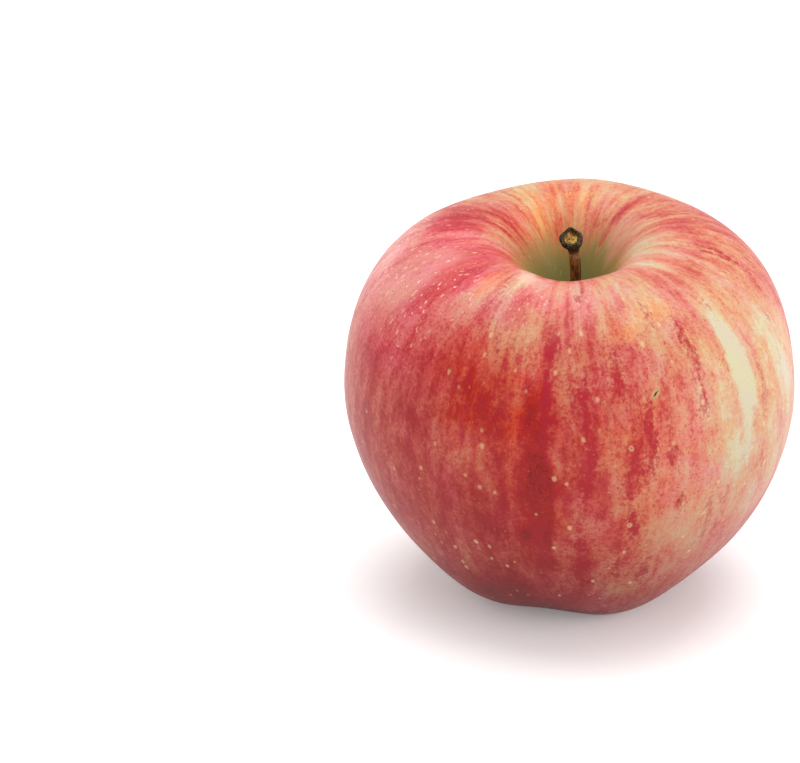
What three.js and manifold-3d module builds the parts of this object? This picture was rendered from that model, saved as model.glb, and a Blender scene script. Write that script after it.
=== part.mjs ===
// A ripe dessert apple: the fruit, its stem, and the dried calyx in the basin under it.
// Millimetres, +Z up. The origin is on the table under the middle of the fruit, and -Y is the side
// that the crown leans to.
import * as THREE from "three";
import { mergeVertices } from "three/addons/utils/BufferGeometryUtils.js";
import Module from "manifold-3d";

// ---- Driving sizes ----

// The fruit's rings, from the stem end down.
const CREST_RADIUS = 18.2; // the ring of highest skin round the stem cavity
const CREST_HEIGHT = 71;
const CAVITY_DEPTH = 17;
const BELLY_RADIUS = 42.2;
const BELLY_HEIGHT = 41;
const FOOT_RADIUS = 17.4; // the ring that the fruit stands on
const BASIN_DEPTH = 9;

// How full the skin is between those rings, each as a share of the step that it rounds off.
const CREST_OUTER_FULLNESS = 0.64;
const BELLY_UPPER_FULLNESS = 0.58;
const BELLY_LOWER_FULLNESS = 0.52;
const FOOT_OUTER_FULLNESS = 0.28;
const CREST_INNER_FULLNESS = 0.57;
const CAVITY_FLOOR_FULLNESS = 0.22;
const FOOT_INNER_FULLNESS = 0.4;
const BASIN_FLOOR_FULLNESS = 0.3;

// What growth does to the round shape.
const CROWN_LEAN = THREE.MathUtils.degToRad(8.4); // the crown faces a little to -Y
const LOBES = 5; // one for each seed chamber
const FOOT_LOBE_HEIGHT = 1.4; // from the feet up to the valleys between them
const FOOT_LOBE_TURN = 0.39; // radians
const CROWN_LOBE_HEIGHT = 0.7;
const CROWN_LOBE_TURN = 1.05;
const OVAL_SHARE = 0.01;
const OVAL_TURN = -0.9;
const THREE_SIDED_SHARE = 0.012;
const THREE_SIDED_TURN = 2.66;
const FLAT_SPOT_RISE = 0.35; // how deep the feet are pressed flat

// The stem.
const STEM_RADIUS = 1.05;
const STEM_RISE = 17.5; // from the cavity floor to the cut face
const STEM_ROOT_DEPTH = 3; // how far the root goes into the fruit
const STEM_ROOT_FLARE = 0.45; // extra radius at the root
const STEM_KNOB_RADIUS = 2.15;
const STEM_KNOB_HEIGHT = 3.4;
const STEM_BOW = 0.9; // how far the middle bows out to +X
const STEM_NOD = 3; // how far the knob nods to -Y
const STEM_NOD_SHARPNESS = 6; // a higher power of the height keeps the nod nearer the knob
const FIT_GAP = 0.3; // clear space between pieces that grew together

// The calyx.
const TUFT_RADIUS = 1.5; // the bundle of dried stamens
const TUFT_LENGTH = 5.5;
const SEPALS = 5;
const SEPAL_LENGTH = 7;
const SEPAL_WIDTH = 2.6;
const SEPAL_THICKNESS = 0.6;
const SEPAL_TAPER = 0.85; // how much of the width is gone at the tip
const SEPAL_CURL = THREE.MathUtils.degToRad(75); // how far the tip turns outwards
const SEPAL_ROOT_DEPTH = 1.6; // how far the root goes into the calyx tube
const CALYX_TUBE_DEPTH = 3;

// How finely the surfaces are divided.
const AROUND = 56;
const ALONG = 10; // steps in each of the fruit's four curves
const STEM_AROUND = 14;

// ---- Helpers ----

const wasm = await Module();
wasm.setup();

// A closed geometry as a manifold-3d solid.
function solidOf(geometry) {
  const bare = geometry.clone();
  bare.deleteAttribute("normal");
  bare.deleteAttribute("uv");
  const merged = mergeVertices(bare, 1e-4);
  return new wasm.Manifold(
    new wasm.Mesh({
      numProp: 3,
      vertProperties: merged.attributes.position.array,
      triVerts: new Uint32Array(merged.index.array),
    }),
  );
}

// A manifold-3d solid as a geometry.
function geometryOf(solid) {
  const mesh = solid.getMesh();
  const geometry = new THREE.BufferGeometry();
  geometry.setAttribute("position", new THREE.BufferAttribute(mesh.vertProperties, 3));
  geometry.setIndex(new THREE.BufferAttribute(mesh.triVerts, 1));
  geometry.computeVertexNormals();
  return geometry;
}

// Moves every vertex of a geometry by a function of its place.
function reshape(geometry, move) {
  const position = geometry.attributes.position;
  const point = new THREE.Vector3();
  for (let i = 0; i < position.count; i++) {
    point.fromBufferAttribute(position, i);
    move(point);
    position.setXYZ(i, point.x, point.y, point.z);
  }
  geometry.computeVertexNormals();
  return geometry;
}

function namedMesh(name, geometry, colour, roughness) {
  const material = new THREE.MeshStandardMaterial({ color: colour, roughness, metalness: 0 });
  const mesh = new THREE.Mesh(geometry, material);
  mesh.name = name;
  return mesh;
}

// Turns a lathe's Y axis up to Z.
const lathe = (profile, around) => new THREE.LatheGeometry(profile, around).rotateX(Math.PI / 2);

// ---- Fruit ----

// Growth: lobes at the crown and the foot, a section that isn't quite round, and the lean.
function grow(point) {
  const radius = Math.hypot(point.x, point.y);
  const angle = Math.atan2(point.y, point.x);
  const { smoothstep } = THREE.MathUtils;
  const crown = smoothstep(point.z, BELLY_HEIGHT, CREST_HEIGHT) * smoothstep(radius, 0, CREST_RADIUS);
  const foot = (1 - smoothstep(point.z, 0, BELLY_HEIGHT)) * smoothstep(radius, 0, FOOT_RADIUS);
  const wave = (turn) => Math.cos(LOBES * angle - turn);
  const height =
    point.z +
    (crown * CROWN_LOBE_HEIGHT * wave(CROWN_LOBE_TURN)) / 2 +
    (foot * FOOT_LOBE_HEIGHT * (1 - wave(FOOT_LOBE_TURN))) / 2;
  const section =
    1 +
    OVAL_SHARE * Math.cos(2 * angle - OVAL_TURN) +
    THREE_SIDED_SHARE * Math.cos(3 * angle - THREE_SIDED_TURN);
  const lean = Math.tan(CROWN_LEAN) * (height / CREST_HEIGHT);
  const y = point.y * section;
  point.set(point.x * section, y - (height * lean) / 2, height + y * lean);
  return point;
}

// One of the fruit's curves, flat or upright at both of its rings.
function curveBetween(from, fromHandle, to, toHandle) {
  return new THREE.CubicBezierCurve(from, from.clone().add(fromHandle), to.clone().add(toHandle), to);
}

const at = (radius, height) => new THREE.Vector2(radius, height);
const CAVITY_FLOOR = CREST_HEIGHT - CAVITY_DEPTH;

// From the basin over the foot, the belly and the crest to the cavity's floor.
function fruitCurves() {
  const floor = at(0, CAVITY_FLOOR);
  const crest = at(CREST_RADIUS, CREST_HEIGHT);
  const belly = at(BELLY_RADIUS, BELLY_HEIGHT);
  const foot = at(FOOT_RADIUS, 0);
  const basin = at(0, BASIN_DEPTH);
  const shoulder = BELLY_RADIUS - CREST_RADIUS;
  const flank = BELLY_RADIUS - FOOT_RADIUS;
  return [
    curveBetween(
      basin,
      at(FOOT_RADIUS * BASIN_FLOOR_FULLNESS, 0),
      foot,
      at(-FOOT_RADIUS * FOOT_INNER_FULLNESS, 0),
    ),
    curveBetween(
      foot,
      at(flank * FOOT_OUTER_FULLNESS, 0),
      belly,
      at(0, -BELLY_HEIGHT * BELLY_LOWER_FULLNESS),
    ),
    curveBetween(
      belly,
      at(0, (CREST_HEIGHT - BELLY_HEIGHT) * BELLY_UPPER_FULLNESS),
      crest,
      at(shoulder * CREST_OUTER_FULLNESS, 0),
    ),
    curveBetween(
      crest,
      at(-CREST_RADIUS * CREST_INNER_FULLNESS, 0),
      floor,
      at(CREST_RADIUS * CAVITY_FLOOR_FULLNESS, 0),
    ),
  ];
}

function fruitProfile() {
  const points = [at(0, BASIN_DEPTH)];
  for (const curve of fruitCurves()) points.push(...curve.getPoints(ALONG).slice(1));
  return points;
}

// Where the stem grows from, at the cavity's floor.
const stemSeat = grow(new THREE.Vector3(0, 0, CAVITY_FLOOR));

// Where the calyx grows from: the middle of the calyx tube, level with its rim in the basin.
const calyxTubeRadius = TUFT_RADIUS + FIT_GAP + SEPAL_THICKNESS + FIT_GAP;
const [basinCurve] = fruitCurves();
const calyxRim = basinCurve.getPoints(100).find((point) => point.x >= calyxTubeRadius);
const calyxSeat = grow(new THREE.Vector3(0, 0, calyxRim.y));

function fruit() {
  const skin = reshape(lathe(fruitProfile(), AROUND), grow);
  const socketRadius = STEM_RADIUS + STEM_ROOT_FLARE + FIT_GAP;
  const socket = new THREE.CylinderGeometry(
    socketRadius,
    socketRadius,
    2 * (STEM_ROOT_DEPTH + FIT_GAP),
    STEM_AROUND,
  )
    .rotateX(Math.PI / 2)
    .translate(stemSeat.x, stemSeat.y, stemSeat.z);
  const tube = new THREE.CylinderGeometry(
    calyxTubeRadius,
    calyxTubeRadius,
    2 * CALYX_TUBE_DEPTH,
    STEM_AROUND,
  )
    .rotateX(Math.PI / 2)
    .translate(calyxSeat.x, calyxSeat.y, calyxSeat.z);
  const table = new THREE.BoxGeometry(3 * BELLY_RADIUS, 3 * BELLY_RADIUS, BELLY_RADIUS).translate(
    0,
    0,
    FLAT_SPOT_RISE - BELLY_RADIUS / 2,
  );
  const solid = solidOf(skin)
    .subtract(solidOf(socket))
    .subtract(solidOf(tube))
    .subtract(solidOf(table));
  return namedMesh("fruit", geometryOf(solid), 0xd2604f, 0.38);
}

// ---- Stem ----

// The stem turned about its own axis, from the root up to the cut face, which is slightly hollow.
function stem() {
  const top = STEM_RISE;
  const neck = top - STEM_KNOB_HEIGHT;
  const rootRadius = STEM_RADIUS + STEM_ROOT_FLARE;
  const side = new THREE.SplineCurve([
    at(rootRadius, -STEM_ROOT_DEPTH),
    at(rootRadius, 0),
    at(STEM_RADIUS, 2 * rootRadius),
    at(STEM_RADIUS, neck / 2),
    at(STEM_RADIUS, neck),
    at(STEM_KNOB_RADIUS * 0.86, top - STEM_KNOB_HEIGHT * 0.45),
    at(STEM_KNOB_RADIUS, top - STEM_KNOB_HEIGHT * 0.18),
    at(STEM_KNOB_RADIUS * 0.84, top),
  ]);
  const profile = [
    at(0, -STEM_ROOT_DEPTH),
    ...side.getPoints(28),
    at(STEM_KNOB_RADIUS * 0.5, top - STEM_KNOB_HEIGHT * 0.1),
    at(0, top - STEM_KNOB_HEIGHT * 0.12),
  ];
  // Bows the shaft to +X and nods the knob to -Y, with every section square to the shaft.
  const bent = reshape(lathe(profile, STEM_AROUND), (point) => {
    const rise = Math.max(point.z, 0) / STEM_RISE;
    const slope = (STEM_NOD_SHARPNESS * STEM_NOD * rise ** (STEM_NOD_SHARPNESS - 1)) / STEM_RISE;
    const nod = Math.atan(slope);
    const across = point.y;
    point.x += STEM_BOW * Math.sin(Math.PI * Math.min(rise, 1));
    point.y = across * Math.cos(nod) - STEM_NOD * rise ** STEM_NOD_SHARPNESS;
    point.z += across * Math.sin(nod);
  });
  bent.translate(stemSeat.x, stemSeat.y, stemSeat.z);
  return namedMesh("stem", bent, 0x6b4423, 0.8);
}

// ---- Calyx ----

// One sepal. Its root is its share of a ring round the tuft, and below the tube's rim the leaf
// curls outwards and tapers to a point.
function sepal(index) {
  const leaf = new THREE.BoxGeometry(SEPAL_THICKNESS, SEPAL_WIDTH, SEPAL_LENGTH, 1, 4, 10);
  const innerRadius = TUFT_RADIUS + FIT_GAP;
  const rootRadius = innerRadius + SEPAL_THICKNESS / 2;
  const rootTurn = Math.PI / SEPALS - FIT_GAP / (2 * innerRadius); // leaves a gap to each neighbour
  const free = SEPAL_LENGTH - SEPAL_ROOT_DEPTH;
  const curlRadius = free / SEPAL_CURL;
  reshape(leaf, (point) => {
    const along = SEPAL_LENGTH / 2 - point.z; // 0 at the root, SEPAL_LENGTH at the tip
    const share = Math.max(along - SEPAL_ROOT_DEPTH, 0) / free; // 0 at the rim, 1 at the tip
    const arc = share * SEPAL_CURL;
    const wrap = rootRadius + point.x; // the root wraps round the tuft
    const turn = ((2 * point.y) / SEPAL_WIDTH) * rootTurn;
    const width = point.y * (1 - SEPAL_TAPER * share * share);
    const out = (curlRadius - point.x) * (1 - Math.cos(arc));
    const drop = Math.min(along, SEPAL_ROOT_DEPTH) + (curlRadius - point.x) * Math.sin(arc);
    const flat = THREE.MathUtils.smoothstep(share, 0, 0.5);
    point.x = THREE.MathUtils.lerp(wrap * Math.cos(turn), wrap, flat) + out;
    point.y = THREE.MathUtils.lerp(wrap * Math.sin(turn), width, flat);
    point.z = SEPAL_ROOT_DEPTH - drop;
  });
  leaf.rotateZ((2 * Math.PI * index) / SEPALS);
  leaf.translate(calyxSeat.x, calyxSeat.y, calyxSeat.z);
  return namedMesh("sepal_" + (index + 1), leaf, 0x7a6a42, 0.9);
}

// The dried stamens and styles, as one bundle with a ragged, rounded end.
function stamenTuft() {
  const top = CALYX_TUBE_DEPTH - FIT_GAP;
  const bottom = top - TUFT_LENGTH;
  const profile = [
    at(0, bottom),
    at(TUFT_RADIUS * 0.6, bottom + 0.1 * TUFT_LENGTH),
    at(TUFT_RADIUS, bottom + 0.3 * TUFT_LENGTH),
    at(TUFT_RADIUS * 0.8, top - 0.3 * TUFT_LENGTH),
    at(TUFT_RADIUS * 0.7, top),
    at(0, top),
  ];
  const bundle = lathe(profile, STEM_AROUND).translate(calyxSeat.x, calyxSeat.y, calyxSeat.z);
  return namedMesh("stamen_tuft", bundle, 0x4a3420, 0.95);
}

// ---- Apple ----

const apple = new THREE.Group();
const body = fruit();
apple.add(body, stem(), stamenTuft());
for (let i = 0; i < SEPALS; i++) apple.add(sepal(i));

// The fruit's middle goes over the origin, and its flat spots onto the table.
const extent = new THREE.Box3().setFromObject(apple);
const middle = extent.getCenter(new THREE.Vector3());
apple.position.set(-middle.x, -middle.y, -extent.min.z);

export default apple;
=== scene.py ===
import math
import random

import bmesh
import bpy
from mathutils import Matrix, Vector, noise


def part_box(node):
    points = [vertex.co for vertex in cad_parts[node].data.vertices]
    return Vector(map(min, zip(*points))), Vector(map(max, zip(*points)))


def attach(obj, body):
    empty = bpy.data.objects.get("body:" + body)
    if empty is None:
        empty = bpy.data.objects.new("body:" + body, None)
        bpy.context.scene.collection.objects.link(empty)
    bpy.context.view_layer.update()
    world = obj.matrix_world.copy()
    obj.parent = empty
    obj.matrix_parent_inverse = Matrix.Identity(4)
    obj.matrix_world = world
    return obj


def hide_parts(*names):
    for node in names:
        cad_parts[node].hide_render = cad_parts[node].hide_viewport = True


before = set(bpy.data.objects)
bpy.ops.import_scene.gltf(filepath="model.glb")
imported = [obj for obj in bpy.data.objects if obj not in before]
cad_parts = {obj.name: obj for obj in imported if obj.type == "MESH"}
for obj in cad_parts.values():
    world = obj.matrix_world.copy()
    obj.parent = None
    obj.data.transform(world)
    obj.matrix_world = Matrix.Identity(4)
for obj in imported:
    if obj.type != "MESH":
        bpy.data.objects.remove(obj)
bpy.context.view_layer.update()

# A ripe dessert apple on a pale floor: its skin, its stem, and the dried sepals and stamens of the
# calyx in the basin under it. Metres, +Z up, -Y the side that the crown leans to.

MM = 0.001

# ---- Driving sizes, the same as the solid's ----

CREST_RADIUS = 18.2 * MM
CREST_HEIGHT = 71 * MM
CAVITY_DEPTH = 17 * MM
BELLY_RADIUS = 42.2 * MM
BELLY_HEIGHT = 41 * MM
FOOT_RADIUS = 17.4 * MM
BASIN_DEPTH = 9 * MM
CREST_OUTER_FULLNESS = 0.64
BELLY_UPPER_FULLNESS = 0.58
BELLY_LOWER_FULLNESS = 0.52
FOOT_OUTER_FULLNESS = 0.28
CREST_INNER_FULLNESS = 0.57
CAVITY_FLOOR_FULLNESS = 0.22
FOOT_INNER_FULLNESS = 0.4
BASIN_FLOOR_FULLNESS = 0.3
CROWN_LEAN = math.radians(8.4)
LOBES = 5
FOOT_LOBE_HEIGHT = 1.4 * MM
FOOT_LOBE_TURN = 0.39
CROWN_LOBE_HEIGHT = 0.7 * MM
CROWN_LOBE_TURN = 1.05
OVAL_SHARE = 0.01
OVAL_TURN = -0.9
THREE_SIDED_SHARE = 0.012
THREE_SIDED_TURN = 2.66
FLAT_SPOT_RISE = 0.35 * MM

STEM_RADIUS = 1.05 * MM
STEM_RISE = 17.5 * MM
STEM_ROOT_DEPTH = 3 * MM
STEM_ROOT_FLARE = 0.45 * MM
STEM_FLARE_HEIGHT = 3 * MM
STEM_KNOB_RADIUS = 2.15 * MM
STEM_KNOB_HEIGHT = 3.4 * MM
STEM_BOW = 0.9 * MM
STEM_NOD = 3 * MM
STEM_NOD_SHARPNESS = 6
STEM_ROOT_GAP = 0.3 * MM

TUFT_RADIUS = 1.5 * MM
SEPALS = 5
SEPAL_LENGTH = 7 * MM
SEPAL_WIDTH = 2.6 * MM
SEPAL_ROOT_DEPTH = 1.6 * MM
SEPAL_CURL = math.radians(75)
CALYX_TUBE_RADIUS = 2.6 * MM
CALYX_TUBE_DEPTH = 3 * MM
CALYX_SEAT_DROP = 0.7 * MM

CAVITY_FLOOR = CREST_HEIGHT - CAVITY_DEPTH

# ---- Finer shapes that only the look has ----

MOUTH_MARGIN = 0.25 * MM  # the skin's curve stops this far outside a hole
MOUTH_ROLL = 0.08 * MM
MOUTH_ROLL_DEPTH = 0.3 * MM
SOCKET_GAP = 0.05 * MM
SKIN_SWELL = 0.22 * MM
SKIN_SWELL_SCALE = 70
SKIN_RIPPLE = 0.05 * MM
SKIN_RIPPLE_SCALE = 190

KNOB_RIM = 0.5 * MM  # the knob starts to round off this far under its top
KNOB_ROUNDING = 0.12
BARK_RIDGES = 0.09
KNOB_LUMPS = 0.2
KNOB_CRACKS = 0.45 * MM
CRACKS_BEGIN = 1 * MM  # under the knob's top
CRACKS_FULL = 0.2 * MM
# The knob's cut face: share of the knob's radius, and millimetres over its top.
CUT_FACE = [(0.7, 0.05), (0.55, -0.35), (0.35, -0.6), (0.15, -0.7), (0, -0.7)]

SEPAL_THICKNESS = 0.35 * MM  # thinner than the solid's, as a dried leaf is
SEPAL_RING_GAP = 0.6 * MM
SEPAL_SIDE_GAP = 0.06
SEPAL_TROUGH = 0.35 * MM
SEPAL_CRINKLE = 0.12 * MM
SEPAL_TWIST = 1.2 * MM
STAMENS = 20
STAMEN_RADIUS = 0.11 * MM
STYLE_RADIUS = 0.16 * MM

# How finely the curves are stepped before the meshes are smoothed.
SKIN_AROUND = 150
CAVITY_STEPS = 30
SHOULDER_STEPS = 32
FLANK_STEPS = 36
BASIN_STEPS = 22
STEM_AROUND = 28
STEM_STEPS = 44
THREAD_AROUND = 6
THREAD_STEPS = 12
WELD = 1e-6

SEED = 11


def smoothstep(value, low, high):
    share = min(max((value - low) / (high - low), 0), 1)
    return share * share * (3 - 2 * share)


def lerp(a, b, share):
    return a + (b - a) * share


# ---- Shape of the fruit ----


def grow(point):
    """Lobes at the crown and the foot, a section that isn't quite round, and the lean."""
    radius, angle = math.hypot(point.x, point.y), math.atan2(point.y, point.x)
    crown = smoothstep(point.z, BELLY_HEIGHT, CREST_HEIGHT) * smoothstep(radius, 0, CREST_RADIUS)
    foot = (1 - smoothstep(point.z, 0, BELLY_HEIGHT)) * smoothstep(radius, 0, FOOT_RADIUS)
    height = (
        point.z
        + crown * CROWN_LOBE_HEIGHT * math.cos(LOBES * angle - CROWN_LOBE_TURN) / 2
        + foot * FOOT_LOBE_HEIGHT * (1 - math.cos(LOBES * angle - FOOT_LOBE_TURN)) / 2
    )
    section = (
        1
        + OVAL_SHARE * math.cos(2 * angle - OVAL_TURN)
        + THREE_SIDED_SHARE * math.cos(3 * angle - THREE_SIDED_TURN)
    )
    lean = math.tan(CROWN_LEAN) * height / CREST_HEIGHT
    y = point.y * section
    return Vector((point.x * section, y - height * lean / 2, height + y * lean))


def bend_between(start, start_handle, end, end_handle, steps):
    """Points of a cubic curve of radius and height, without the first one."""
    a, d = Vector(start), Vector(end)
    b, c = a + Vector(start_handle), d + Vector(end_handle)
    points = []
    for step in range(1, steps + 1):
        t = step / steps
        s = 1 - t
        points.append(s**3 * a + 3 * s * s * t * b + 3 * s * t * t * c + t**3 * d)
    return points


def skin_profile():
    """Radius and height of the stem's socket, of the outside from stem to calyx, and of the tube."""
    floor, crest = (0, CAVITY_FLOOR), (CREST_RADIUS, CREST_HEIGHT)
    belly, foot = (BELLY_RADIUS, BELLY_HEIGHT), (FOOT_RADIUS, 0)
    basin = (0, BASIN_DEPTH)
    shoulder, flank = BELLY_RADIUS - CREST_RADIUS, BELLY_RADIUS - FOOT_RADIUS
    points = bend_between(
        floor,
        (CREST_RADIUS * CAVITY_FLOOR_FULLNESS, 0),
        crest,
        (-CREST_RADIUS * CREST_INNER_FULLNESS, 0),
        CAVITY_STEPS,
    )
    points += bend_between(
        crest,
        (shoulder * CREST_OUTER_FULLNESS, 0),
        belly,
        (0, (CREST_HEIGHT - BELLY_HEIGHT) * BELLY_UPPER_FULLNESS),
        SHOULDER_STEPS,
    )
    points += bend_between(
        belly,
        (0, -BELLY_HEIGHT * BELLY_LOWER_FULLNESS),
        foot,
        (flank * FOOT_OUTER_FULLNESS, 0),
        FLANK_STEPS,
    )
    points += bend_between(
        foot,
        (-FOOT_RADIUS * FOOT_INNER_FULLNESS, 0),
        basin,
        (FOOT_RADIUS * BASIN_FLOOR_FULLNESS, 0),
        BASIN_STEPS,
    )
    socket_radius = STEM_RADIUS + STEM_ROOT_FLARE + SOCKET_GAP
    points = [p for p in points if p.x > socket_radius + MOUTH_MARGIN or p.y < BELLY_HEIGHT]
    points = [p for p in points if p.x > CALYX_TUBE_RADIUS + MOUTH_MARGIN or p.y > BELLY_HEIGHT]
    rim, calyx_rim = points[0].y, points[-1].y
    socket = [
        (0, rim - STEM_ROOT_DEPTH),
        (socket_radius * 0.9, rim - STEM_ROOT_DEPTH),
        (socket_radius, rim - STEM_ROOT_DEPTH * 0.6),
        (socket_radius, rim - MOUTH_ROLL_DEPTH),
        (socket_radius + MOUTH_ROLL, rim),
    ]
    tube = [
        (CALYX_TUBE_RADIUS + MOUTH_ROLL, calyx_rim),
        (CALYX_TUBE_RADIUS, calyx_rim + MOUTH_ROLL_DEPTH),
        (CALYX_TUBE_RADIUS, calyx_rim + CALYX_TUBE_DEPTH * 0.6),
        (CALYX_TUBE_RADIUS * 0.9, calyx_rim + CALYX_TUBE_DEPTH),
        (0, calyx_rim + CALYX_TUBE_DEPTH),
    ]
    return [Vector(p) for p in socket], points, [Vector(p) for p in tube]


def add_piece(name, bm, material, slot, *nodes):
    """Makes a bmesh a finished piece of the apple that stands for the named solids."""
    mesh = bpy.data.meshes.new(name)
    bm.to_mesh(mesh)
    bm.free()
    for polygon in mesh.polygons:
        polygon.use_smooth = True
    mesh.materials.append(material)
    piece = bpy.data.objects.new(name, mesh)
    bpy.context.scene.collection.objects.link(piece)
    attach(piece, "root")
    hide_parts(*nodes)
    return piece


def refine(piece):
    """One level of smoothing, the same in the view as in the picture."""
    modifier = piece.modifiers.new("fine", "SUBSURF")
    modifier.levels = 1
    modifier.render_levels = 1


def draw_profile(bm, profile):
    """A chain of (radius, height) points in the XZ plane."""
    verts = [bm.verts.new((p[0], 0, p[1])) for p in profile]
    edges = [bm.edges.new(pair) for pair in zip(verts, verts[1:])]
    return verts, edges


def spin_closed(bm, verts, edges, steps):
    """Spins a chain once round the Z axis, and closes its seam and poles."""
    bmesh.ops.spin(
        bm,
        geom=verts + edges,
        cent=(0, 0, 0),
        axis=(0, 0, 1),
        dvec=(0, 0, 0),
        angle=math.tau,
        steps=steps,
        use_merge=True,
        use_duplicate=False,
    )
    bmesh.ops.remove_doubles(bm, verts=bm.verts, dist=WELD)
    bmesh.ops.recalc_face_normals(bm, faces=bm.faces)


def make_skin(material):
    bm = bmesh.new()
    # Where a point is on the skin: its direction round the core, and its distance from the stem.
    grain = bm.verts.layers.float_vector.new("grain")
    socket, outside, tube = skin_profile()
    profile = socket + outside + tube
    verts, edges = draw_profile(bm, profile)
    along = outside[0].x
    for i in range(len(socket), len(profile)):
        if i > len(socket):
            along += (profile[i] - profile[i - 1]).length
        verts[i][grain] = (0, 0, along)
    spin_closed(bm, verts, edges, SKIN_AROUND)
    for vert in bm.verts:
        radius = math.hypot(vert.co.x, vert.co.y)
        if radius > WELD:
            share = BELLY_RADIUS / radius
            vert[grain] = (vert.co.x * share, vert.co.y * share, vert[grain].z)
        vert.co = grow(vert.co)
    bm.normal_update()
    for vert in bm.verts:
        swell = noise.noise(vert.co * SKIN_SWELL_SCALE) * SKIN_SWELL
        ripple = noise.noise(vert.co * SKIN_RIPPLE_SCALE) * SKIN_RIPPLE
        vert.co += vert.normal * (swell + ripple)
        vert.co.z = max(vert.co.z, FLAT_SPOT_RISE)
    low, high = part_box("fruit")
    xs, ys = [v.co.x for v in bm.verts], [v.co.y for v in bm.verts]
    shift = Vector(
        (
            (low.x + high.x - min(xs) - max(xs)) / 2,
            (low.y + high.y - min(ys) - max(ys)) / 2,
            low.z - FLAT_SPOT_RISE,
        )
    )
    bmesh.ops.translate(bm, verts=bm.verts, vec=shift)
    skin = add_piece("skin", bm, material, "skin", "fruit")
    refine(skin)
    return shift


# ---- Stem ----


def stem_radius(rise):
    """The stem's radius at a height over its seat."""
    neck = STEM_RISE - STEM_KNOB_HEIGHT
    flare = STEM_ROOT_FLARE * (1 - smoothstep(rise, 0, STEM_FLARE_HEIGHT))
    swell = (STEM_KNOB_RADIUS - STEM_RADIUS) * smoothstep(rise, neck, STEM_RISE - KNOB_RIM)
    rounding = STEM_KNOB_RADIUS * KNOB_ROUNDING * smoothstep(rise, STEM_RISE - KNOB_RIM, STEM_RISE)
    return STEM_RADIUS + flare + swell - rounding


def bend_stem(point):
    """Bows the shaft to +X and nods the knob to -Y."""
    rise = max(point.z, 0) / STEM_RISE
    slope = STEM_NOD_SHARPNESS * STEM_NOD * rise ** (STEM_NOD_SHARPNESS - 1) / STEM_RISE
    nod = math.atan(slope)
    centre = Vector(
        (
            STEM_BOW * math.sin(math.pi * min(rise, 1)),
            -STEM_NOD * rise**STEM_NOD_SHARPNESS,
            point.z,
        )
    )
    across = Vector((point.x, point.y * math.cos(nod), point.y * math.sin(nod)))
    return centre + across


def make_stem(material, seat):
    bm = bmesh.new()
    zone = bm.verts.layers.float_vector.new("grain")
    root = STEM_ROOT_GAP - STEM_ROOT_DEPTH
    side = [lerp(root, STEM_RISE, step / STEM_STEPS) for step in range(STEM_STEPS + 1)]
    profile = [(0, root)] + [(stem_radius(z), z) for z in side]
    profile += [(STEM_KNOB_RADIUS * share, STEM_RISE + over * MM) for share, over in CUT_FACE]
    verts, edges = draw_profile(bm, profile)
    for i, vert in enumerate(verts):
        # 0 on the bark, rising to 1 at the middle of the cut face, and then the height.
        on_face = max(i - len(side), 0) / len(CUT_FACE)
        vert[zone] = (0, on_face, vert.co.z)
    spin_closed(bm, verts, edges, STEM_AROUND)
    for vert in bm.verts:
        angle = math.atan2(vert.co.y, vert.co.x)
        around = Vector((math.cos(angle), math.sin(angle), 0)) * 2
        knob = smoothstep(vert.co.z, STEM_RISE - STEM_KNOB_HEIGHT * 0.8, STEM_RISE)
        ridge = noise.noise(around * 1.6 + Vector((0, 0, vert.co.z * 160))) * BARK_RIDGES
        lump = noise.noise(around * 0.8 + Vector((3, 1, vert.co.z * 500))) * KNOB_LUMPS * knob
        vert.co.x *= 1 + ridge + lump
        vert.co.y *= 1 + ridge + lump
        crack = noise.noise(Vector((vert.co.x, vert.co.y, 0)) * 900) * KNOB_CRACKS
        vert.co.z += crack * smoothstep(vert.co.z, STEM_RISE - CRACKS_BEGIN, STEM_RISE - CRACKS_FULL)
        vert[zone] = (angle / math.tau, vert[zone].y, vert[zone].z)
        vert.co = bend_stem(vert.co) + seat
    stem = add_piece("stem_bark", bm, material, "stem", "stem")
    refine(stem)


# ---- Calyx ----


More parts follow.
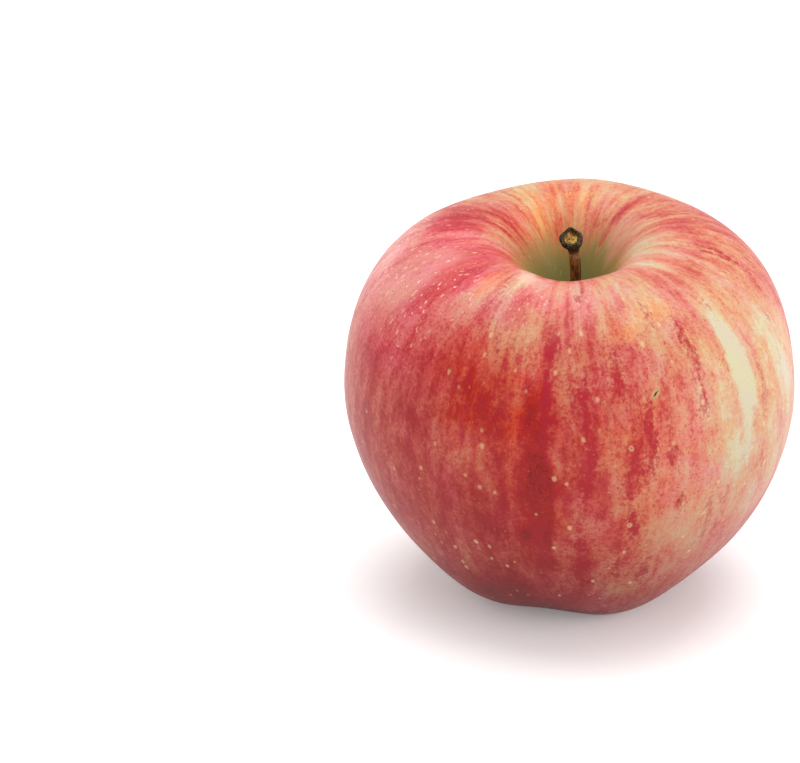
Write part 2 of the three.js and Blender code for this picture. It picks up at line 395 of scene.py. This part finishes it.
def make_sepal(index, material, seat, chance):
    """One dried sepal: its root wraps the tuft in the tube, and below the rim it curls outwards."""
    bm = bmesh.new()
    down = bm.verts.layers.float_vector.new("grain")
    bmesh.ops.create_grid(bm, x_segments=8, y_segments=22, size=0.5)
    length = SEPAL_LENGTH * chance.uniform(0.9, 1.05)
    curl = SEPAL_CURL * chance.uniform(0.8, 1.15)
    twist = chance.uniform(-0.5, 0.5)
    ring = TUFT_RADIUS + SEPAL_RING_GAP
    root_turn = math.pi / SEPALS - SEPAL_SIDE_GAP
    free = length - SEPAL_ROOT_DEPTH
    curl_radius = free / curl
    for vert in bm.verts:
        across, along = vert.co.x * 2, (0.5 - vert.co.y) * length
        share = max(along - SEPAL_ROOT_DEPTH, 0) / free
        vert[down] = (across, share, index)
        ragged = 1 + 0.06 * noise.noise(Vector((index, along * 900, 0)))
        half_width = SEPAL_WIDTH / 2 * (1 - 0.9 * share**1.6) * ragged
        arc = share * curl
        flat = smoothstep(share, 0, 0.5)
        trough = SEPAL_TROUGH * (1 - across * across) * flat
        crinkle = SEPAL_CRINKLE * noise.noise(Vector((across * 2.2, along * 1100, index * 7.3))) * flat
        out = curl_radius * (1 - math.cos(arc))
        drop = min(along, SEPAL_ROOT_DEPTH) + curl_radius * math.sin(arc)
        turn = across * root_turn
        lift = trough + crinkle
        x = lerp(ring * math.cos(turn), ring, flat) + out + lift * math.cos(arc)
        y = lerp(ring * math.sin(turn), half_width * across, flat) + twist * share * share * SEPAL_TWIST
        vert.co = (x, y, SEPAL_ROOT_DEPTH - drop + lift * math.sin(arc))
    bmesh.ops.recalc_face_normals(bm, faces=bm.faces)
    bmesh.ops.solidify(bm, geom=bm.faces, thickness=-SEPAL_THICKNESS)
    bmesh.ops.recalc_face_normals(bm, faces=bm.faces)
    turn = Matrix.Rotation(math.tau * index / SEPALS, 4, "Z")
    bmesh.ops.transform(bm, matrix=Matrix.Translation(seat) @ turn, verts=bm.verts)
    name = f"sepal_leaf_{index + 1}"
    refine(add_piece(name, bm, material, "sepal", f"sepal_{index + 1}"))


def add_thread(bm, root, tip, radius, bow, head):
    """One thin thread from root to tip, bowed sideways, with a rounded head."""
    one = bmesh.new()
    axis = tip - root
    side = axis.cross(Vector((0.3, 0.9, 0.2))).normalized()
    profile = [(0, 0)]
    for step in range(THREAD_STEPS + 1):
        t = step / THREAD_STEPS
        swell = head * smoothstep(t, 0.75, 0.85) * (1 - smoothstep(t, 0.92, 1))
        profile.append((radius * (lerp(1, 0.6, t) + swell), t))
    profile.append((0, 1))
    verts, edges = draw_profile(one, profile)
    spin_closed(one, verts, edges, THREAD_AROUND)
    to_axis = Vector((0, 0, 1)).rotation_difference(axis.normalized()).to_matrix()
    for vert in one.verts:
        t = vert.co.z
        across = to_axis @ Vector((vert.co.x, vert.co.y, 0))
        vert.co = root + axis * t + side * bow * math.sin(math.pi * t) + across
    mesh = bpy.data.meshes.new("thread")
    one.to_mesh(mesh)
    one.free()
    bm.from_mesh(mesh)
    bpy.data.meshes.remove(mesh)


def make_stamens(material, seat, chance):
    """A ring of dried stamens, and the five stouter styles inside it."""
    bm = bmesh.new()
    for i in range(STAMENS):
        angle = math.tau * i / STAMENS + chance.uniform(-0.2, 0.2)
        ring = TUFT_RADIUS * chance.uniform(0.55, 0.95)
        spread = ring * chance.uniform(0.5, 1.25)
        way = Vector((math.cos(angle), math.sin(angle), 0))
        root = seat + way * ring + Vector((0, 0, 1.8 * MM))
        tip = seat + way * spread - Vector((0, 0, chance.uniform(1.6, 3.2) * MM))
        add_thread(bm, root, tip, STAMEN_RADIUS, chance.uniform(-0.5, 0.5) * MM, 1.3)
    for i in range(SEPALS):
        angle = math.tau * (i + 0.5) / SEPALS
        way = Vector((math.cos(angle), math.sin(angle), 0))
        root = seat + way * 0.3 * MM + Vector((0, 0, 2 * MM))
        tip = seat + way * 0.7 * MM - Vector((0, 0, chance.uniform(1.2, 2.2) * MM))
        add_thread(bm, root, tip, STYLE_RADIUS, chance.uniform(-0.3, 0.3) * MM, 0.8)
    bmesh.ops.recalc_face_normals(bm, faces=bm.faces)
    add_piece("stamen_threads", bm, material, "stamen", "stamen_tuft")


# ---- Finishes ----


def shade(red, green, blue):
    """A colour given as a painter would mix it, from 0 to 255, in linear light."""
    shares = [c / 255 for c in (red, green, blue)]
    linear = [((c + 0.055) / 1.055) ** 2.4 if c > 0.04 else c / 12.92 for c in shares]
    return (*linear, 1)


# The Mix node's sockets for colours: its share, its two colours and its result.
MIX_SHARE = 0
MIX_FIRST = 6
MIX_SECOND = 7
MIX_RESULT = 2


class Finish:
    """The node tree of one material, with short ways to add to it."""

    def __init__(self, name):
        self.material = bpy.data.materials.new(name)
        self.material.use_nodes = True
        self.tree = self.material.node_tree
        self.shader = self.tree.nodes["Principled BSDF"]

    def feed(self, socket, value):
        if isinstance(value, bpy.types.NodeSocket):
            self.tree.links.new(value, socket)
        else:
            socket.default_value = value

    def add(self, kind, inputs, output, **settings):
        node = self.tree.nodes.new("ShaderNode" + kind)
        for name, value in settings.items():
            setattr(node, name, value)
        for name, value in inputs.items():
            self.feed(node.inputs[name], value)
        return node.outputs[output]

    def surface(self, **values):
        for name, value in values.items():
            self.feed(self.shader.inputs[name.replace("_", " ")], value)

    def place(self):
        return self.add("TexCoord", {}, "Object")

    def grain(self):
        return self.add("Attribute", {}, "Vector", attribute_name="grain")

    def parts(self, vector):
        node = self.tree.nodes.new("ShaderNodeSeparateXYZ")
        self.feed(node.inputs[0], vector)
        return node.outputs

    def stretch(self, vector, scale):
        return self.add("Mapping", {"Vector": vector, "Scale": scale}, "Vector")

    def noise(self, vector, scale, detail=2, rough=0.5, output="Fac"):
        inputs = {"Vector": vector, "Scale": scale, "Detail": detail, "Roughness": rough}
        return self.add("TexNoise", inputs, output)

    def ramp(self, value, low, high, start=0, end=1):
        """start below low, end above high, and a smooth rise between them."""
        inputs = {"Value": value, "From Min": low, "From Max": high, "To Min": start, "To Max": end}
        return self.add("MapRange", inputs, "Result", interpolation_type="SMOOTHSTEP")

    def maths(self, operation, a, b=0):
        return self.add("Math", {0: a, 1: b}, 0, operation=operation)

    def plus(self, *terms):
        total = terms[0]
        for term in terms[1:]:
            total = self.maths("ADD", total, term)
        return total

    def times(self, *terms):
        total = terms[0]
        for term in terms[1:]:
            total = self.maths("MULTIPLY", total, term)
        return total

    def centred(self, field, weight):
        """The field with its middle moved to nothing, at this weight."""
        return self.times(self.plus(field, -0.5), weight)

    def mix(self, share, first, second):
        inputs = {MIX_SHARE: share, MIX_FIRST: first, MIX_SECOND: second}
        return self.add("Mix", inputs, MIX_RESULT, data_type="RGBA")

    def tinted(self, share, colour, factor):
        """The colour, with this share of it multiplied by factor."""
        inputs = {MIX_SHARE: 1.0, MIX_FIRST: colour, MIX_SECOND: factor}
        tint = self.add("Mix", inputs, MIX_RESULT, data_type="RGBA", blend_type="MULTIPLY")
        return self.mix(share, colour, tint)

    def bump(self, height, strength, distance):
        inputs = {"Height": height, "Strength": strength, "Distance": distance}
        return self.add("Bump", inputs, "Normal")

    def drift(self, vector, scale, amount):
        """The vector moved about by noise, by up to amount along each axis."""
        wander = self.noise(vector, scale, 2, output="Color")
        centred = self.add("VectorMath", {0: wander, 1: (0.5, 0.5, 0.5)}, 0, operation="SUBTRACT")
        scaled = self.add("VectorMath", {0: centred, 1: amount}, 0, operation="MULTIPLY")
        return self.add("VectorMath", {0: vector, 1: scaled}, 0, operation="ADD")

    def region(self, grain, turn, along, across, length, amount, edge=1.15, tilt=0):
        """An oval region of skin that adds amount in its middle and nothing at its edge.

        A larger edge gives a softer one. The tilt turns the oval's length in degrees.
        """
        turn = math.radians(turn)
        inputs = {
            "Vector": grain,
            "Location": (BELLY_RADIUS * math.cos(turn), BELLY_RADIUS * math.sin(turn), along * MM),
            "Rotation": (math.radians(tilt), 0, turn),
            "Scale": (edge * REGION_DEPTH, edge * across * MM, edge * length * MM),
        }
        local = self.add("Mapping", inputs, "Vector", vector_type="TEXTURE")
        nearness = self.add("TexGradient", {"Vector": local}, "Fac", gradient_type="SPHERICAL")
        return self.ramp(nearness, 0, 1 - REGION_CORE / edge, 0, amount)

    def total(self, grain, regions, edge=1.15):
        """What all the regions add. Summing them one at a time keeps the shader small."""
        total = 0
        for region in regions:
            total = self.plus(total, self.region(grain, *region, edge=edge))
        return total

    def scale_of(self, value, *steps):
        """A scale of colours, each at its place between 0 and 1."""
        node = self.tree.nodes.new("ShaderNodeValToRGB")
        self.feed(node.inputs[0], value)
        stops = node.color_ramp.elements
        while len(stops) < len(steps):
            stops.new(0.5)
        for stop, (place, colour) in zip(stops, steps):
            stop.position, stop.color = place, colour
        return node.outputs[0]


# Regions of the skin. A row holds the direction round the core in degrees, the distance from the
# stem, the half width and the half length in millimetres, and how much the region adds.
REGION_DEPTH = 40 * MM
REGION_CORE = 0.3  # the share of an oval's size inside which it adds its whole amount
BLUSH_AND_SHADE_REGIONS = [
    # The blushed side.
    (-168, 44, 17, 13, -0.08),
    (-158, 27, 10, 6, 0.16),
    (-146, 34, 9, 8, 0.16),
    (-120, 30, 5, 8, -0.26),
    (-132, 35, 10, 7, -0.26),
    (-125, 23, 14, 7, -0.12),
    (-100, 26, 16, 5, -0.16),
    (-83, 30, 8, 8, -0.2),
    (-67, 27, 8, 5, -0.12),
    # The next three rows deepen the red low on the front left, partly the skin's own crimson and partly
    # painted shade.
    (-111, 52, 13, 11, 0.22),
    (-98, 69, 4, 27, 0.42),
    (-110, 82, 9, 30, 0.2),
    (-140, 80, 26, 34, 0.16),
    (-86, 70, 8, 36, 0.14),
    (-70, 55, 8, 9, 0.06),
    (-70, 90, 12, 14, -0.06),
    (-112, 109, 24, 14, 0.34),
    (-90, 119, 20, 8, 0.4),
    (-60, 36, 9, 7, -0.14),
    # The shaded side.
    (-54, 62, 12, 24, -0.1),
    (-50, 92, 13, 18, -0.14),
    (-28, 56, 20, 26, -0.22),
    (-40, 72, 14, 14, -0.12),
    (-14, 56, 8, 14, -0.2),
    (-18, 38, 20, 6, -0.1),
    (-15, 20, 28, 9, -0.3),
    (-50, 26, 24, 8, -0.08),
    (75, 66, 22, 36, -0.26),
    (52, 60, 5, 24, -0.2),
    # The back.
    (100, 27, 34, 15, -0.18),
    (166, 29, 12, 8, 0.16),
    (135, 66, 26, 40, 0.16),
    (20, 70, 12, 30, 0.14),
]
ORANGE_AND_BOUNCE_REGIONS = [
    (-71, 37.5, 5, 4, 1.3),
    (-58, 36, 8, 4, 0.8),
    # The next two rows warm the same low front-left patch, partly the skin's own orange and partly
    # painted warm light bounced into its shade.
    (-114, 54, 15, 14, 1.8),
    (-99, 66, 6, 26, 1.8),
    (-76, 68, 18, 26, 0.55),
    (128, 17, 26, 7, 1.2),
    (-133, 31, 5, 6, 1.2),
    (95, 24, 30, 12, 1.2),
]
PINK_REGIONS = [
    (-158, 38, 32, 24, 1.2),
    (-96, 28, 22, 8, 0.8),
    (-25, 20, 32, 9, 0.6),
    (-45, 92, 24, 20, 0.4),
    (-60, 66, 11, 18, 0.4),
    (-100, 112, 34, 16, 0.7),
    (168, 29, 14, 9, 0.7),
]
# Painted highlights: pale sheen on the left shoulder and round the cavity's lip, where the light
# glances off the waxy skin. Below, small pale flakes of the waxy coat, partly painted glints.
PAINTED_SHEEN_REGIONS = [
    (-164, 38, 12, 13, 0.34),
    (-120, 24, 9, 3.6, 1.0),
    (-50, 20, 26, 4, 0.35),
    (30, 18, 18, 6, 0.25),
]
WAX_AND_GLINT_REGIONS = [
    (-156, 38, 26, 16, 0.72),
    (-112, 30, 12, 8, 0.5),
    (150, 36, 24, 14, 0.4),
]
# Bare streaks, where a leaf kept the sun off. They take blush away.
BARE_STREAKS = [
    (-39, 48, 2.7, 11, -0.44),
    (-40, 56, 2.2, 9, -0.16),
    (52, 58, 2.2, 12, -0.14),
]
# Crimson dashes. A row's last value is how dark its dash is.
DASHES = [
    (-86.5, 64, 1.7, 8, 0.95),
    (-87.5, 51, 2.0, 5, 0.7),
    (-87.5, 89, 1.4, 11, 0.8),
    (-96, 41, 1.6, 7, 0.7),
    (-96.5, 55, 1.3, 7, 0.65),
    (-77, 46, 1.5, 5, 0.75),
    (-75.5, 66, 1.8, 8, 0.65),
    (-70.5, 60, 1.3, 10, 0.8),
    (-65, 63, 1.6, 2.8, 0.8),
    (-53.5, 43, 1.5, 7, 0.7),
    (-55, 54.5, 1.4, 3.6, 0.65),
    (-62, 35, 1.4, 5, 0.5),
    (-74.5, 79, 1.3, 4, 0.65),
    (-77.5, 91, 1.4, 4, 0.6),
    (-69, 93, 1.5, 4.5, 0.55),
    (-62, 75, 1.6, 3, 0.55),
    (-98, 88, 2, 14, 0.6),
    (-85, 29, 2.6, 3, 0.6),
    (-113, 43, 1.4, 3.5, 0.5),
    (-6, 35, 2, 8, 0.6),
]
# An old nick in the skin: its direction, its distance from the stem, and how its length leans.
SCAR = (-67.5, 51)
SCAR_TILT = 50


class SkinFields:
    """What the skin's colours share: its directions, and fields of noise from broad to fine.

    The long fields run from the stem to the calyx.
    """

    def __init__(self, f):
        self.grain, self.place = f.grain(), f.place()
        self.along = f.parts(self.grain)[2]
        self.loose = f.drift(self.grain, 75, (9 * MM, 9 * MM, 11 * MM))
        self.loose = f.drift(self.loose, 330, (3 * MM, 3 * MM, 5 * MM))
        self.torn = f.drift(self.grain, 160, (2.6 * MM, 2.6 * MM, 6 * MM))
        self.torn = f.drift(self.torn, 620, (1.7 * MM, 1.7 * MM, 2.6 * MM))
        self.broad = f.noise(self.grain, 48, 2)
        self.warm = f.noise(self.grain, 120, 3, 0.6)
        self.sweep = f.noise(f.stretch(self.torn, (1, 1, 0.22)), 150, 2, 0.5)
        self.mottle = f.noise(f.stretch(self.grain, (1, 1, 0.6)), 190, 3, 0.6)
        self.streak = f.noise(f.stretch(self.torn, (1, 1, 0.14)), 330, 2, 0.5)
        self.flake = f.noise(f.stretch(self.grain, (1, 1, 0.55)), 520, 3, 0.65)
        self.hair = f.noise(f.stretch(self.grain, (1, 1, 0.1)), 1150, 2, 0.6)
        self.grit = f.noise(self.place, 1300, 3, 0.7)
        self.dust = f.noise(self.place, 3400, 2, 0.6)
        self.blush = f.plus(0.46, f.centred(self.broad, 0.4))
        self.blush = f.plus(self.blush, f.total(self.loose, BLUSH_AND_SHADE_REGIONS, 1.3))
        self.rose = f.total(self.loose, PINK_REGIONS)
        self.dashes = f.total(self.torn, DASHES, 1.7)
        self.tone = skin_tone(f, self)


def skin_tone(f, skin):
    """How red the skin is: 0 is bare cream ground, and 1 is deep red."""
    crown = f.ramp(skin.along, 24 * MM, 42 * MM, 1, 0)
    wall = f.ramp(skin.along, 10 * MM, 22 * MM, 0.3, 1)
    runs = f.plus(f.centred(skin.streak, 0.4), f.times(f.centred(skin.sweep, 0.75), crown))
    runs = f.times(f.plus(runs, f.centred(skin.hair, 0.14)), wall)
    broken = f.plus(runs, f.centred(skin.mottle, 0.55), f.centred(skin.flake, 0.4))
    broken = f.times(broken, f.ramp(skin.rose, 0, 1, 1, 0.6))
    fade = f.ramp(skin.along, 112 * MM, 128 * MM, 0, -0.1)
    bare = f.total(f.drift(skin.grain, 260, (1.4 * MM, 1.4 * MM, 2 * MM)), BARE_STREAKS, 1.5)
    return f.plus(skin.blush, fade, bare, broken, f.centred(skin.grit, 0.4))


def blush_colour(f, skin):
    """The ground and the blush over it, yellower, rosier, orange or pink in places. Low on the front
    left, the deeper red and orange are partly painted shade and painted bounced light.
    """
    colour = f.scale_of(
        skin.tone,
        (0.0, shade(184, 172, 148)),
        (0.18, shade(190, 147, 116)),
        (0.38, shade(188, 116, 92)),
        (0.56, shade(180, 76, 66)),
        (0.76, shade(155, 31, 26)),
        (1.0, shade(112, 16, 16)),
    )
    blushed = f.ramp(skin.tone, 0.08, 0.36)
    yellow = f.ramp(skin.warm, 0.4, 0.6, 0.5, 0)
    rosy = f.times(f.ramp(skin.warm, 0.48, 0.66, 0, 0.6), blushed)
    orange = f.times(f.total(skin.loose, ORANGE_AND_BOUNCE_REGIONS), f.ramp(skin.mottle, 0.35, 0.65, 0.3, 1))
    pink = f.times(skin.rose, f.ramp(skin.grit, 0.3, 0.6, 0.7, 1), blushed)
    colour = f.tinted(yellow, colour, (1.0, 1.08, 0.82, 1))
    colour = f.tinted(rosy, colour, (1.03, 0.9, 1.25, 1))
    colour = f.tinted(f.times(orange, 0.5), colour, (1.26, 0.94, 0.4, 1))
    return f.tinted(f.times(pink, 0.9), colour, (1.2, 0.82, 1.34, 1))


def add_dashes(f, skin, colour):
    """Crimson dashes with torn edges, and the flakes between them."""
    ragged = f.plus(f.centred(skin.grit, 1.4), f.centred(skin.flake, 1.6))
    gaps = f.noise(f.stretch(skin.torn, (1, 1, 0.4)), 560, 2, 0.6)
    placed = f.ramp(f.plus(skin.dashes, f.times(ragged, 0.8)), 0.3, 0.75, 0, 0.85)
    placed = f.times(placed, f.ramp(gaps, 0.36, 0.56, 0.35, 1))
    free = f.plus(skin.streak, f.centred(skin.grit, 0.4), f.times(skin.blush, 0.1))
    free = f.ramp(free, 0.64, 0.76, 0, 0.4)
    colour = f.mix(f.maths("MAXIMUM", placed, free), colour, shade(160, 24, 38))
    flakes = f.ramp(f.plus(skin.flake, f.centred(skin.dust, 0.3)), 0.55, 0.63)
    flakes = f.times(flakes, f.ramp(skin.blush, 0.25, 0.55, 0, 0.4))
    return f.mix(flakes, colour, shade(160, 36, 50))


def add_speckle(f, skin, colour):
    """Fine crimson dots, thicker round the dashes, and a few pale flecks."""
    crowd = f.plus(f.times(skin.tone, 0.14), f.times(skin.dashes, 0.12), f.centred(skin.mottle, 0.2))
    specks = f.ramp(f.plus(f.noise(skin.place, 1700, 2, 0.6), crowd), 0.61, 0.7, 0, 0.5)
    below_crown = f.ramp(skin.along, 28 * MM, 42 * MM, 0.3, 1)
    specks = f.times(specks, below_crown, f.ramp(skin.blush, 0.15, 0.45, 0.4, 1))
    colour = f.mix(specks, colour, shade(156, 26, 40))
    dots = f.ramp(f.plus(skin.dust, f.times(skin.tone, 0.12)), 0.6, 0.7, 0, 0.25)
    colour = f.mix(dots, colour, shade(156, 40, 46))
    flecks = f.ramp(f.plus(skin.dust, f.centred(skin.flake, 0.3)), 0.3, 0.24, 0, 0.35)
    return f.mix(flecks, colour, shade(214, 150, 122))


def add_cavity_and_basin(f, skin, colour):
    """Green in the cavity and yellow in the basin, painted highlights and pale waxy flakes with painted
    glints on the shoulders, and painted shade that darkens the lower half towards the foot.
    """
    edge = f.plus(skin.along, f.centred(skin.mottle, 10 * MM), f.centred(skin.hair, 4 * MM))
    colour = f.mix(f.ramp(edge, 11 * MM, 21 * MM, 0.6, 0), colour, shade(184, 134, 74))
    colour = f.mix(f.ramp(edge, 10 * MM, 18 * MM, 0.95, 0), colour, shade(126, 121, 66))
    # Painted highlight: a pale sheen, broken up by the mottle, on the left shoulder and round the
    # cavity's lip.
    patchy = f.ramp(f.plus(skin.mottle, f.centred(skin.grit, 0.6)), 0.35, 0.65, 0.3, 1)
    painted_sheen = f.times(f.total(skin.loose, PAINTED_SHEEN_REGIONS), patchy)
    colour = f.mix(painted_sheen, colour, shade(212, 172, 152))
    # Small pale flakes of the waxy coat on the shoulders, partly painted glints where the highlight
    # falls.
    wax_and_glints = f.ramp(f.noise(f.stretch(skin.grain, (1, 1, 1.1)), 760, 2, 0.5), 0.62, 0.71)
    wax_and_glints = f.times(wax_and_glints, f.total(skin.loose, WAX_AND_GLINT_REGIONS))
    colour = f.mix(wax_and_glints, colour, shade(232, 188, 180))
    colour = f.mix(f.ramp(edge, 120 * MM, 134 * MM, 0, 0.8), colour, shade(176, 158, 88))
    # Painted shade: the skin darkens from the middle down to the foot, where less light reaches.
    return f.tinted(f.ramp(skin.along, 46 * MM, 118 * MM), colour, (0.5, 0.42, 0.44, 1))


def add_lenticels(f, skin, colour):
    """Pale pores, some with a dark middle. Gives the colour, the pores and their middles."""
    wander = f.drift(skin.grain, 1500, (0.6 * MM, 0.6 * MM, 0.6 * MM))
    cells = {"Vector": f.stretch(wander, (1, 1, 0.8)), "Scale": 370.0, "Randomness": 1.0}
    near = f.add("TexVoronoi", cells, "Distance", feature="F1")
    which = f.parts(f.add("TexVoronoi", cells, "Color", feature="F1"))
    size = f.ramp(which[0], 0.35, 1, 0.05, 0.21)
    spot = f.plus(size, f.times(near, -1), f.centred(skin.dust, 0.08))
    pore = f.ramp(spot, -0.04, 0.1)
    pit = f.times(f.ramp(spot, 0.1, 0.13), f.ramp(which[1], 0.58, 0.64))
    colour = f.mix(f.times(pore, 0.52), colour, shade(206, 176, 130))
    colour = f.mix(f.times(pit, 0.8), colour, shade(110, 92, 58))
    return colour, pore, pit


def add_scar(f, skin, colour):
    """The corky nick. Gives the colour and the slit."""
    halo = f.drift(skin.grain, 2500, (0.5 * MM, 0.5 * MM, 0.5 * MM))
    halo = f.region(halo, *SCAR, 0.8, 1.5, 1, tilt=SCAR_TILT)
    slit = f.drift(skin.grain, 2500, (0.4 * MM, 0.4 * MM, 0.4 * MM))
    slit = f.region(slit, *SCAR, 0.24, 0.95, 1, tilt=SCAR_TILT)
    colour = f.mix(f.times(halo, 0.7), colour, shade(176, 158, 104))
    return f.mix(slit, colour, shade(40, 30, 16)), slit


def skin_finish():
    f = Finish("waxy_skin")
    skin = SkinFields(f)
    colour = blush_colour(f, skin)
    colour = add_dashes(f, skin, colour)
    colour = add_speckle(f, skin, colour)
    colour = add_cavity_and_basin(f, skin, colour)
    colour, pore, pit = add_lenticels(f, skin, colour)
    colour, slit = add_scar(f, skin, colour)
    height = f.plus(f.times(slit, -1.5), f.times(skin.grit, 0.3), f.times(pore, 0.4))
    height = f.plus(height, f.times(pit, -0.8), f.times(skin.mottle, 0.4))
    rough = f.plus(0.4, f.centred(skin.grit, 0.2), f.times(pore, 0.12))
    f.surface(Base_Color=colour, Roughness=rough, Normal=f.bump(height, 0.4, 0.1 * MM))
    f.surface(Subsurface_Weight=0.08, Subsurface_Scale=1.5 * MM, Subsurface_Radius=(1, 0.35, 0.2))
    f.surface(Coat_Weight=0.04, Coat_Roughness=0.3, Specular_IOR_Level=0.14)
    return f.material


def bark_finish():
    """Fibrous bark, a dark cracked crust round the knob, and pale wood on the cut face."""
    f = Finish("stem_bark")
    place, zone = f.place(), f.parts(f.grain())
    fibres = f.noise(f.stretch(place, (1, 1, 0.12)), 2600, 3, 0.6)
    lumps = f.noise(place, 900, 3, 0.6)
    specks = f.noise(place, 3800, 2, 0.6)
    bark = f.mix(f.ramp(fibres, 0.38, 0.62), shade(78, 42, 18), shade(142, 90, 42))
    bark = f.mix(f.ramp(lumps, 0.5, 0.68, 0, 0.6), bark, shade(158, 108, 58))
    knob = f.ramp(zone[2], STEM_RISE - 4 * MM, STEM_RISE - 2.2 * MM)
    crust = f.mix(f.ramp(specks, 0.44, 0.66), shade(22, 17, 10), shade(88, 74, 46))
    colour = f.mix(knob, bark, crust)
    neck = f.ramp(f.maths("ABSOLUTE", f.plus(zone[2], 4.2 * MM - STEM_RISE)), 0.9 * MM, 0.3 * MM)
    colour = f.mix(f.times(neck, f.ramp(specks, 0.46, 0.56, 0, 0.7)), colour, shade(176, 142, 124))
    wood = f.mix(f.ramp(lumps, 0.4, 0.6), shade(120, 76, 30), shade(206, 164, 84))
    wood = f.mix(f.ramp(specks, 0.55, 0.66, 0, 0.8), wood, shade(48, 32, 16))
    colour = f.mix(f.ramp(zone[1], 0.3, 0.5), colour, wood)
    bump = f.bump(f.plus(fibres, f.times(specks, 0.4)), 0.8, 0.12 * MM)
    rough = f.plus(0.6, f.times(lumps, 0.3))
    f.surface(Base_Color=colour, Normal=bump, Roughness=rough, Specular_IOR_Level=0.2)
    return f.material


def sepal_finish():
    """Dull brown leaf with pale down, darker at its tip."""
    f = Finish("dried_sepal")
    place, share = f.place(), f.parts(f.grain())[1]
    down = f.noise(place, 5200, 2, 0.7)
    blotch = f.noise(place, 900, 3, 0.6)
    colour = f.mix(f.ramp(blotch, 0.35, 0.65), shade(122, 104, 62), shade(88, 66, 38))
    colour = f.mix(f.ramp(down, 0.5, 0.68, 0, 0.6), colour, shade(178, 166, 128))
    colour = f.mix(f.ramp(share, 0.55, 1, 0, 0.85), colour, shade(58, 38, 24))
    bump = f.bump(down, 0.9, 0.1 * MM)
    f.surface(Base_Color=colour, Normal=bump, Roughness=f.plus(0.75, f.times(blotch, 0.2)))
    f.surface(Sheen_Weight=0.4, Sheen_Roughness=0.5)
    return f.material


def stamen_finish():
    f = Finish("dried_stamen")
    mottle = f.noise(f.place(), 2400, 3, 0.6)
    colour = f.mix(f.ramp(mottle, 0.4, 0.62), shade(52, 34, 20), shade(118, 84, 46))
    bump = f.bump(mottle, 0.6, 0.08 * MM)
    f.surface(Base_Color=colour, Normal=bump, Roughness=f.plus(0.7, f.times(mottle, 0.2)))
    return f.material


# ---- Studio ----

VIEW_ELEVATION = math.radians(22.5)
VIEW_DISTANCE = 0.6
AIM_LEFT = math.radians(3.1)  # the apple stands right of the frame's middle
AIM_UP = math.radians(0.38)
AIM_POINT = Vector((0.45 * MM, 2.08 * MM, 35.65 * MM))
LENS = 141.8
SENSOR = 36
FLOOR_HALF_SIZE = 2
FLOOR_GAP = 0.05 * MM
FLOOR_GLOW = 0.16
SKY_STRENGTH = 0.8
# A row holds the softbox's name, its place, its width, its depth and its power in watts.
SOFTBOXES = [
    ("top_softbox", (0.05, 0.15, 0.9), 0.9, 0.9, 7.5),
    ("back_left_softbox", (-0.5, 0.85, 0.22), 0.5, 0.4, 1.6),
    ("right_softbox", (0.75, -0.3, 0.25), 0.5, 0.5, 3.1),
]


def add_camera():
    camera = bpy.data.objects.new("camera", bpy.data.cameras.new("camera"))
    camera.data.lens = LENS
    camera.data.sensor_width = SENSOR
    back = Vector((0, -math.cos(VIEW_ELEVATION), math.sin(VIEW_ELEVATION)))
    look = Matrix.Rotation(math.pi / 2 - VIEW_ELEVATION, 4, "X")
    aside = Matrix.Rotation(AIM_LEFT, 4, "Y") @ Matrix.Rotation(AIM_UP, 4, "X")
    camera.matrix_world = Matrix.Translation(AIM_POINT + back * VIEW_DISTANCE) @ look @ aside
    bpy.context.scene.collection.objects.link(camera)
    bpy.context.scene.camera = camera


def add_softbox(target, name, place, width, depth, power):
    light = bpy.data.lights.new(name, "AREA")
    light.shape = "RECTANGLE"
    light.size = width
    light.size_y = depth
    light.energy = power
    box = bpy.data.objects.new(name, light)
    way = Vector(target) - Vector(place)
    box.matrix_world = Matrix.Translation(place) @ way.to_track_quat("-Z", "Y").to_matrix().to_4x4()
    bpy.context.scene.collection.objects.link(box)


def add_floor():
    bm = bmesh.new()
    bmesh.ops.create_grid(bm, x_segments=1, y_segments=1, size=FLOOR_HALF_SIZE)
    bmesh.ops.translate(bm, verts=bm.verts, vec=(0, 0, -FLOOR_GAP))
    mesh = bpy.data.meshes.new("floor")
    bm.to_mesh(mesh)
    bm.free()
    floor = bpy.data.objects.new("floor", mesh)
    bpy.context.scene.collection.objects.link(floor)
    paper = Finish("pale_paper")
    paper.surface(Base_Color=shade(246, 246, 246), Roughness=0.9)
    paper.surface(Emission_Color=(1, 1, 1, 1), Emission_Strength=FLOOR_GLOW)
    mesh.materials.append(paper.material)


def add_light(target):
    world = bpy.data.worlds.new("studio")
    world.use_nodes = True
    sky = world.node_tree.nodes["Background"].inputs
    sky["Color"].default_value = (1, 1, 1, 1)
    sky["Strength"].default_value = SKY_STRENGTH
    bpy.context.scene.world = world
    for softbox in SOFTBOXES:
        add_softbox(target, *softbox)
    bpy.context.scene.view_settings.view_transform = "Standard"


# ---- Apple ----

chance = random.Random(SEED)
shift = make_skin(skin_finish())
stem_seat = grow(Vector((0, 0, CAVITY_FLOOR))) + shift
calyx_seat = grow(Vector((0, 0, BASIN_DEPTH - CALYX_SEAT_DROP))) + shift
make_stem(bark_finish(), stem_seat)
leaf = sepal_finish()
for index in range(SEPALS):
    make_sepal(index, leaf, calyx_seat, chance)
make_stamens(stamen_finish(), calyx_seat, chance)

low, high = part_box("fruit")
add_camera()
add_floor()
add_light((low + high) / 2)
